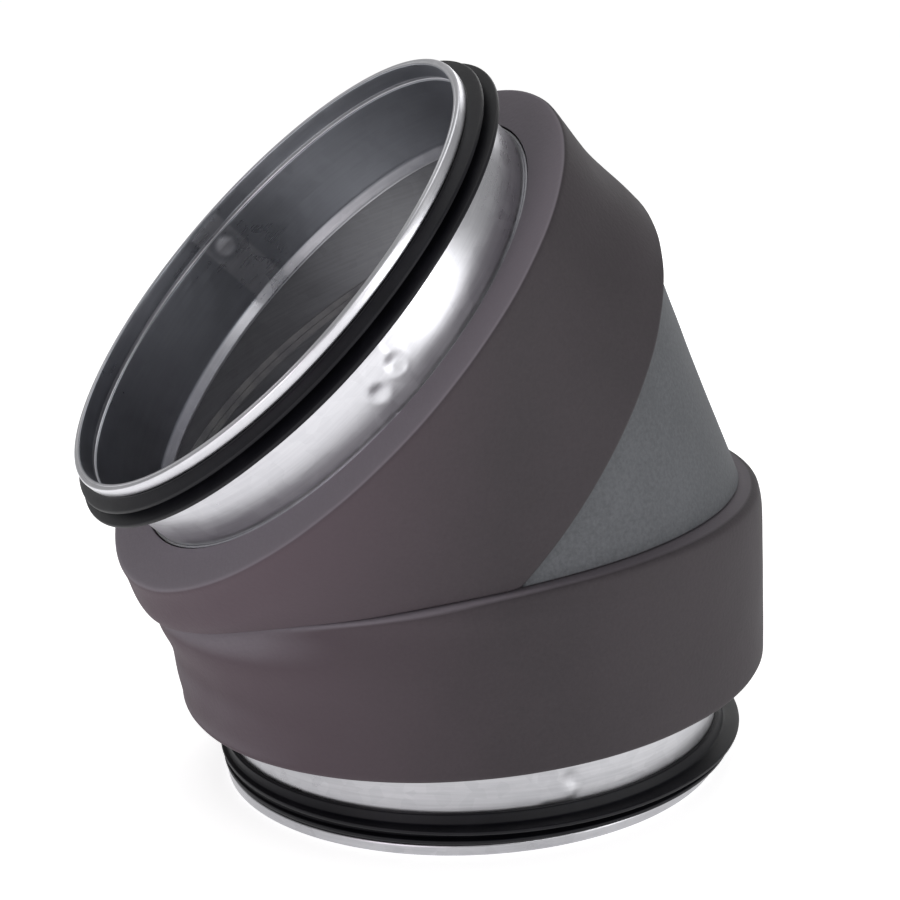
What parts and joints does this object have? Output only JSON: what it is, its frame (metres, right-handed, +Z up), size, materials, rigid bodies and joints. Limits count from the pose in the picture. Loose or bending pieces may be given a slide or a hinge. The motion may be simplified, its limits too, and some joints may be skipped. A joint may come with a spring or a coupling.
{
  "type": "flue elbow",
  "caption": "Insulated round duct elbow turning 45 degrees: mitred steel bend with a rubber-sealed push-in collar at each end, wrapped in grey cellular rubber bands.",
  "frame": {"origin": "centre of the lower collar's open end, in the plane of its rim, which is the plane the part stands on", "axes": "+Z up the axis of the lower leg; the upper leg leans 45 degrees towards -X; the outside of the bend faces +X, and the part is alike on both sides of the XZ plane"},
  "size_m": [0.2166, 0.1906, 0.2243],
  "materials": {
    "galvanised_collar": "bright galvanised sheet, rolled and brushed by handling",
    "galvanised_duct": "duller galvanised sheet with a fine spangle",
    "seal_rubber": "black moulded rubber, satin",
    "sealant": "grey mastic, slightly uneven",
    "adhesive": "thin amber contact adhesive film",
    "band_foam": "dark grey closed-cell rubber with a matt skin",
    "gore_foam": "lighter grey closed-cell rubber with a finely speckled matt skin",
    "joint_glue": "black glue line"
  },
  "bodies": {
    "root": {"lower_collar": "galvanised_collar", "upper_collar": "galvanised_collar", "lower_lip_seal": "seal_rubber", "upper_lip_seal": "seal_rubber", "lower_segment": "galvanised_duct", "gore_segment": "galvanised_duct", "upper_segment": "galvanised_duct", "lower_collar_sealant": "sealant", "upper_collar_sealant": "sealant", "lower_mitre_sealant": "sealant", "upper_mitre_sealant": "sealant", "lower_adhesive": "adhesive", "gore_adhesive": "adhesive", "upper_adhesive": "adhesive", "lower_band": "band_foam", "gore_insulation": "gore_foam", "upper_band": "band_foam", "lower_glue_line": "joint_glue", "upper_glue_line": "joint_glue"}
  },
  "joints": []
}
